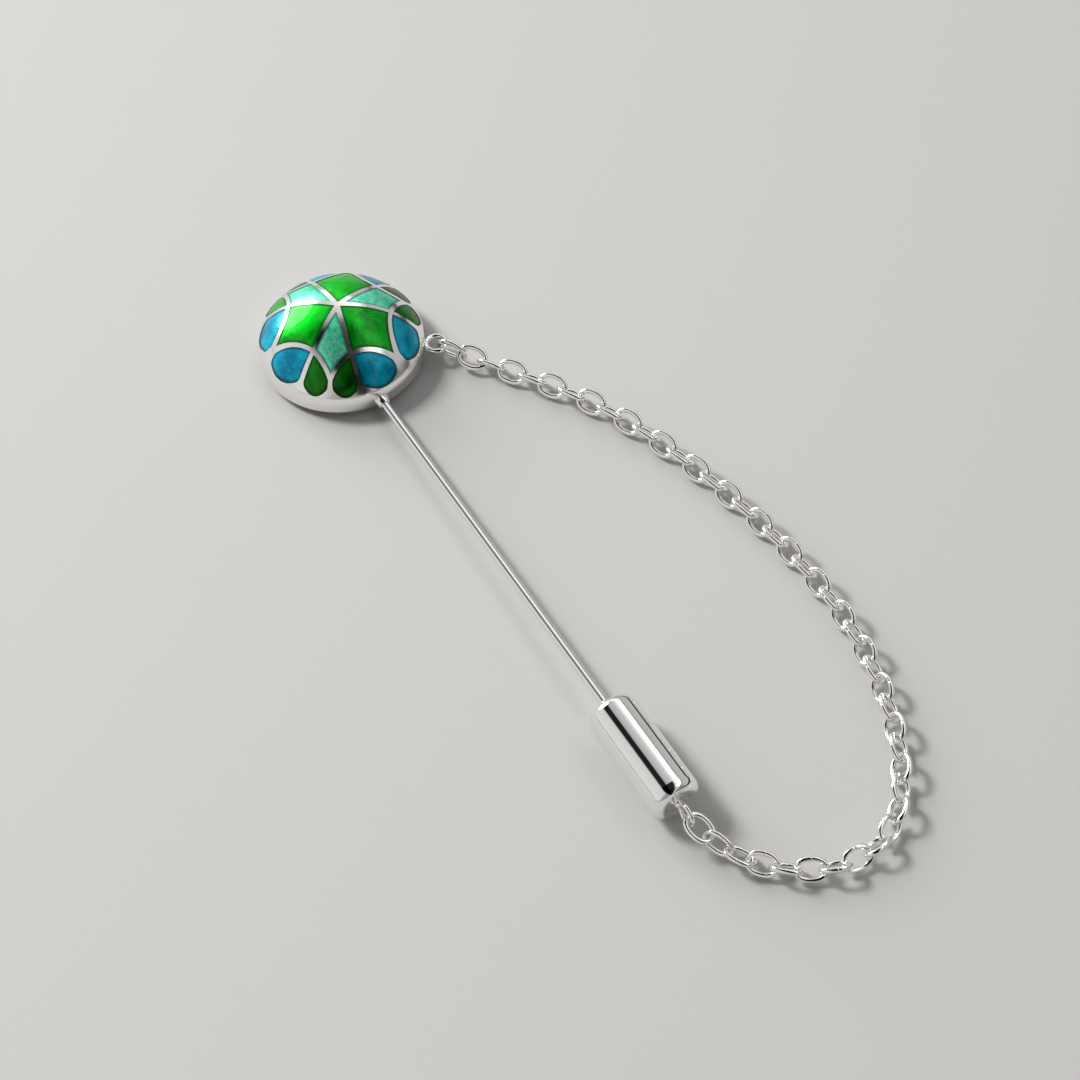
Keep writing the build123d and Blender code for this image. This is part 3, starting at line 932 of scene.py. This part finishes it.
def link_shape():
    """One oval link lying flat along x, in millimetres, with the closed seam on one side."""
    wire = in_mm(sizes().link_wire)
    long_half = (in_mm(sizes().link_length) - wire) / 2
    wide_half = (in_mm(sizes().link_width) - wire) / 2
    fullness = LINK_FULLNESS
    turns = sorted(
        [2 * pi * n / 60 for n in range(60) if abs(n - 15) > 1]
        + [pi / 2 + k * 0.022 for k in (-6, -3, -2, -1, 0, 1, 2, 3, 6)]
    )
    points, normals, thickness = [], [], []
    for turn in turns:
        c, s = cos(turn), sin(turn)
        x = long_half * (abs(c) ** (2 / fullness)) * (1 if c > 0 else -1)
        y = wide_half * (abs(s) ** (2 / fullness)) * (1 if s > 0 else -1)
        points.append(Vector((x, y, 0)))
        normals.append(Vector((0, 0, 1)))
        seam = exp(-(((turn - pi / 2) / SEAM_WIDTH) ** 2))
        thickness.append(wire / 2 * (1 - SEAM_DEPTH * seam))
    bm = bmesh.new()
    swept(bm, points, normals, thickness)
    return bm


def link_place(node):
    """Where a link lies: its middle, its long way and its flat side, from the solid's own faces."""
    mesh = frame["nodes"][node].data
    centres = np.array([tuple(f.center) for f in mesh.polygons])
    areas = np.array([f.area for f in mesh.polygons])
    middle = (centres * areas[:, None]).sum(0) / areas.sum()
    spread = (centres - middle).T @ ((centres - middle) * areas[:, None])
    _, ways = np.linalg.eigh(spread)
    long_way, wide_way = Vector(ways[:, 2]), Vector(ways[:, 1])
    flat = long_way.cross(wide_way)
    turn = Matrix([[a, b, c] for a, b, c in zip(long_way, wide_way, flat)]).to_4x4()
    return Matrix.Translation(Vector(middle)) @ turn @ Matrix.Scale(MM, 4)


def build_chain():
    """Forty-four closed links, each where the solid model has it."""
    bright = metal(
        "Bright chain wire",
        tuple(colours().silver),
        roughness=0.05,
        smudge=0.05,
        scratch=0.5,
        wave_scale=900.0,
        wave=0.6,
        relief=0.25,
        tint=0.02,
    )
    bodies = frame["record"]["behaviour"]["bodies"]
    held = [(body, node) for body, nodes in bodies.items() for node in nodes]
    for body, node in held:
        if not node.startswith("chain_link_"):
            continue
        piece_name = node.replace("chain_link", "chain_oval")
        finished_piece(piece_name, link_shape(), link_place(node), body, bright, [node], 180)


# ---------------------------------------------------------------- stage


CAMERA_AZIMUTH = 59.5
CAMERA_ELEVATION = 54.5
CAMERA_ROLL = -0.3
CAMERA_DISTANCE = 0.310
CAMERA_AIM = Vector((0.0326, 0.0055, 0))
# Bands of light round the stem's way: degrees from straight up, towards the chain's side.
LIGHT_BANDS = (
    (-180, 0.55),
    (-92, 0.50),
    (-89, 0.30),
    (-85, 0.74),
    (-40, 0.66),
    (-34, 0.015),
    (-15, 0.015),
    (-12, 0.42),
    (14, 0.62),
    (38, 1.55),
    (42, 1.35),
    (45, 0.16),
    (49, 0.46),
    (79, 0.50),
    (82, 0.02),
    (89, 0.02),
    (92, 0.45),
    (180, 0.55),
)


# A dark board ahead of the clutch's far end, over these angles, and how soft its edges are.
DARK_BOARD = (-36, 15)
BOARD_EDGE = 3


def camera_back():
    azimuth, elevation = radians(CAMERA_AZIMUTH), radians(CAMERA_ELEVATION)
    return Vector((sin(azimuth) * cos(elevation), -cos(azimuth) * cos(elevation), sin(elevation)))


def build_camera():
    camera = bpy.data.objects.new("Camera", bpy.data.cameras.new("Camera"))
    bpy.context.scene.collection.objects.link(camera)
    camera.data.lens = 100
    camera.data.sensor_width = 36
    camera.data.clip_start, camera.data.clip_end = 0.01, 20
    aim = Vector((HEAD_BASE.x, HEAD_BASE.y, 0)) + CAMERA_AIM
    back = camera_back()
    camera.location = aim + back * CAMERA_DISTANCE
    level = (-back).to_track_quat("-Z", "Y")
    camera.rotation_mode = "QUATERNION"
    camera.rotation_quaternion = level @ Matrix.Rotation(radians(CAMERA_ROLL), 3, "Z").to_quaternion()
    bpy.context.scene.camera = camera


def build_floor():
    bm = bmesh.new()
    bmesh.ops.create_grid(bm, x_segments=8, y_segments=8, size=2.0)
    mesh = bpy.data.meshes.new("Floor")
    bm.to_mesh(mesh)
    bm.free()
    floor = bpy.data.objects.new("Floor", mesh)
    floor.location.z = CAD_BOX[0][2]
    bpy.context.scene.collection.objects.link(floor)
    material, tree, shader = new_material("Plain pale floor")
    shader.inputs["Roughness"].default_value = 0.9
    shader.inputs["Specular IOR Level"].default_value = 0.2
    place = add_node(tree, "ShaderNodeTexCoord", (-900, 0))
    tone_noise = add_node(tree, "ShaderNodeTexNoise", (-700, 0), Scale=9.0, Detail=3.0)
    join(tree, place, "Object", tone_noise, "Vector")
    tone = add_node(tree, "ShaderNodeMix", (-400, 0), {"data_type": "RGBA"})
    tone.inputs[6].default_value = (*colours().floor, 1)
    tone.inputs[7].default_value = tuple(c * 0.97 for c in colours().floor) + (1,)
    join(tree, tone_noise, "Fac", tone, 0)
    tree.links.new(tone.outputs[2], shader.inputs["Base Color"])
    mesh.materials.append(material)


def build_world():
    """A soft studio: wide panels on each side with dark gaps, and a window behind the head."""
    world = bpy.data.worlds.new("Studio")
    bpy.context.scene.world = world
    world.use_nodes = True
    tree = world.node_tree
    tree.nodes.clear()
    output = add_node(tree, "ShaderNodeOutputWorld", (900, 0))
    place = add_node(tree, "ShaderNodeTexCoord", (-1400, 0))
    parts = add_node(tree, "ShaderNodeSeparateXYZ", (-1200, 0))
    join(tree, place, "Generated", parts, "Vector")
    round_stem = add_node(tree, "ShaderNodeMath", (-1000, 100), {"operation": "ARCTAN2"})
    join(tree, parts, "Y", round_stem, 0)
    join(tree, parts, "Z", round_stem, 1)
    share = add_node(tree, "ShaderNodeMapRange", (-800, 100), From_Min=-pi, From_Max=pi)
    join(tree, round_stem, "Value", share, "Value")
    bands = add_node(tree, "ShaderNodeValToRGB", (-600, 100))
    ramp = bands.color_ramp
    ramp.interpolation = "LINEAR"
    while len(ramp.elements) > 1:
        ramp.elements.remove(ramp.elements[-1])
    for n, (angle, level) in enumerate(LIGHT_BANDS):
        position = (angle + 180) / 360
        element = ramp.elements[0] if n == 0 else ramp.elements.new(position)
        element.position = position
        element.color = (level, level, level, 1)
    join(tree, share, "Result", bands, "Fac")
    toward = add_node(tree, "ShaderNodeVectorMath", (-1000, -250), {"operation": "DOT_PRODUCT"})
    toward.inputs[1].default_value = Vector((-0.90, -0.24, 0.36)).normalized()
    join(tree, place, "Generated", toward, 0)
    window = add_node(
        tree, "ShaderNodeMapRange", (-800, -250), {"interpolation_type": "SMOOTHSTEP"},
        From_Min=0.952, From_Max=0.966, To_Min=0.0, To_Max=10.0,
    )
    join(tree, toward, "Value", window, "Value")
    front = add_node(
        tree, "ShaderNodeMapRange", (-800, -550), {"interpolation_type": "SMOOTHSTEP"},
        From_Min=0.55, From_Max=0.8, To_Min=1.0, To_Max=0.45,
    )
    join(tree, parts, "X", front, "Value")
    ahead = add_node(tree, "ShaderNodeMapRange", (-800, -800), From_Min=-0.40, From_Max=-0.34)
    join(tree, parts, "X", ahead, "Value")
    low, high = (radians(angle) for angle in DARK_BOARD)
    edge = radians(BOARD_EDGE)
    over_low = add_node(tree, "ShaderNodeMapRange", (-800, -1050), From_Min=low, From_Max=low + edge)
    join(tree, round_stem, "Value", over_low, "Value")
    over_high = add_node(
        tree, "ShaderNodeMapRange", (-800, -1300),
        From_Min=high - edge, From_Max=high, To_Min=1.0, To_Max=0.0,
    )
    join(tree, round_stem, "Value", over_high, "Value")
    between = add_node(tree, "ShaderNodeMath", (-550, -1150), {"operation": "MULTIPLY"})
    join(tree, over_low, "Result", between, 0)
    join(tree, over_high, "Result", between, 1)
    dark_board = add_node(tree, "ShaderNodeMath", (-400, -900), {"operation": "MULTIPLY"})
    join(tree, between, "Value", dark_board, 0)
    join(tree, ahead, "Result", dark_board, 1)
    unlit = add_node(tree, "ShaderNodeMapRange", (-250, -900), To_Min=1.0, To_Max=0.04)
    join(tree, dark_board, "Value", unlit, "Value")
    faced = add_node(tree, "ShaderNodeMath", (-450, -300), {"operation": "MULTIPLY"})
    join(tree, front, "Result", faced, 0)
    join(tree, unlit, "Result", faced, 1)
    dimmed = add_node(tree, "ShaderNodeMath", (-300, 0), {"operation": "MULTIPLY"})
    join(tree, bands, "Color", dimmed, 0)
    join(tree, faced, "Value", dimmed, 1)
    level = add_node(tree, "ShaderNodeMath", (-100, 0), {"operation": "ADD"})
    join(tree, dimmed, "Value", level, 0)
    join(tree, window, "Result", level, 1)
    studio = add_node(tree, "ShaderNodeBackground", (300, 100), Color=(1.0, 0.995, 0.985, 1))
    join(tree, level, "Value", studio, "Strength")
    plain = add_node(tree, "ShaderNodeBackground", (300, -100), Color=(0.80, 0.80, 0.79, 1), Strength=0.9)
    seen = add_node(tree, "ShaderNodeLightPath", (300, 400))
    mix = add_node(tree, "ShaderNodeMixShader", (600, 0))
    join(tree, seen, "Is Camera Ray", mix, 0)
    tree.links.new(studio.outputs[0], mix.inputs[1])
    tree.links.new(plain.outputs[0], mix.inputs[2])
    join(tree, mix, "Shader", output, "Surface")


def build_key_light():
    """A soft lamp behind the head that casts the shadows; it leaves no mark in the metal."""
    lamp = bpy.data.lights.new("Key", "AREA")
    lamp.energy = 5.0
    lamp.size = 0.16
    holder = bpy.data.objects.new("Key", lamp)
    bpy.context.scene.collection.objects.link(holder)
    way = Vector((-0.62, -0.42, 0.72)).normalized()
    holder.location = way * 0.7
    holder.rotation_mode = "QUATERNION"
    holder.rotation_quaternion = way.to_track_quat("Z", "Y")
    holder.visible_glossy = False
    holder.visible_camera = False


# ---------------------------------------------------------------- operators


class HATPIN_OT_groups(bpy.types.Operator):
    """Makes the shared surface effects"""

    bl_idname = "hatpin.groups"
    bl_label = "Shared effects"

    def execute(self, context):
        wear_group()
        shimmer_group()
        return {"FINISHED"}


class HATPIN_OT_head(bpy.types.Operator):
    """Finishes the head's shell and its back plate"""

    bl_idname = "hatpin.head"
    bl_label = "Head"

    def execute(self, context):
        build_head()
        return {"FINISHED"}


class HATPIN_OT_enamel(bpy.types.Operator):
    """Fills the cells with enamel"""

    bl_idname = "hatpin.enamel"
    bl_label = "Enamel"

    def execute(self, context):
        build_enamel()
        return {"FINISHED"}


class HATPIN_OT_stem(bpy.types.Operator):
    """Draws the stem and its solder"""

    bl_idname = "hatpin.stem"
    bl_label = "Stem"

    def execute(self, context):
        build_stem()
        return {"FINISHED"}


class HATPIN_OT_clutch(bpy.types.Operator):
    """Turns the clutch's barrel and makes the two soldered rings"""

    bl_idname = "hatpin.clutch"
    bl_label = "Clutch and rings"

    def execute(self, context):
        silver = metal(
            "Bright silver",
            tuple(colours().silver),
            roughness=0.05,
            smudge=0.05,
            scratch=0.5,
            wave_scale=800.0,
            wave=0.6,
            relief=0.25,
            tint=0.02,
        )
        build_clutch(silver)
        build_rim_eyelet(silver)
        return {"FINISHED"}


class HATPIN_OT_chain(bpy.types.Operator):
    """Links the safety chain"""

    bl_idname = "hatpin.chain"
    bl_label = "Chain"

    def execute(self, context):
        build_chain()
        return {"FINISHED"}


class HATPIN_OT_stage(bpy.types.Operator):
    """Sets the floor, the light and the camera"""

    bl_idname = "hatpin.stage"
    bl_label = "Stage"

    def execute(self, context):
        build_floor()
        build_world()
        build_key_light()
        build_camera()
        bpy.context.scene.view_settings.view_transform = "Standard"
        return {"FINISHED"}


OPERATORS = (
    HATPIN_OT_groups,
    HATPIN_OT_head,
    HATPIN_OT_enamel,
    HATPIN_OT_stem,
    HATPIN_OT_clutch,
    HATPIN_OT_chain,
    HATPIN_OT_stage,
)


class HATPIN_PT_panel(bpy.types.Panel):
    """Hat pin sizes, colours and steps"""

    bl_idname = "HATPIN_PT_panel"
    bl_label = "Hat Pin"
    bl_space_type = "VIEW_3D"
    bl_region_type = "UI"
    bl_category = "Hat Pin"

    def draw(self, context):
        layout = self.layout
        for settings in (context.scene.hat_pin_sizes, context.scene.hat_pin_colours):
            for name in settings.__annotations__:
                layout.prop(settings, name)
        for operator in OPERATORS:
            layout.operator(operator.bl_idname)


CLASSES = (HatPinSizes, HatPinColours, *OPERATORS, HATPIN_PT_panel)


def register():
    for made in CLASSES:
        bpy.utils.register_class(made)
    bpy.types.Scene.hat_pin_sizes = PointerProperty(type=HatPinSizes)
    bpy.types.Scene.hat_pin_colours = PointerProperty(type=HatPinColours)


def unregister():
    del bpy.types.Scene.hat_pin_colours
    del bpy.types.Scene.hat_pin_sizes
    for made in reversed(CLASSES):
        bpy.utils.unregister_class(made)


def main():
    register()
    bpy.ops.hatpin.groups()
    bpy.ops.hatpin.head()
    bpy.ops.hatpin.enamel()
    bpy.ops.hatpin.stem()
    bpy.ops.hatpin.clutch()
    bpy.ops.hatpin.chain()
    bpy.ops.hatpin.stage()


if __name__ == "__main__":
    main()
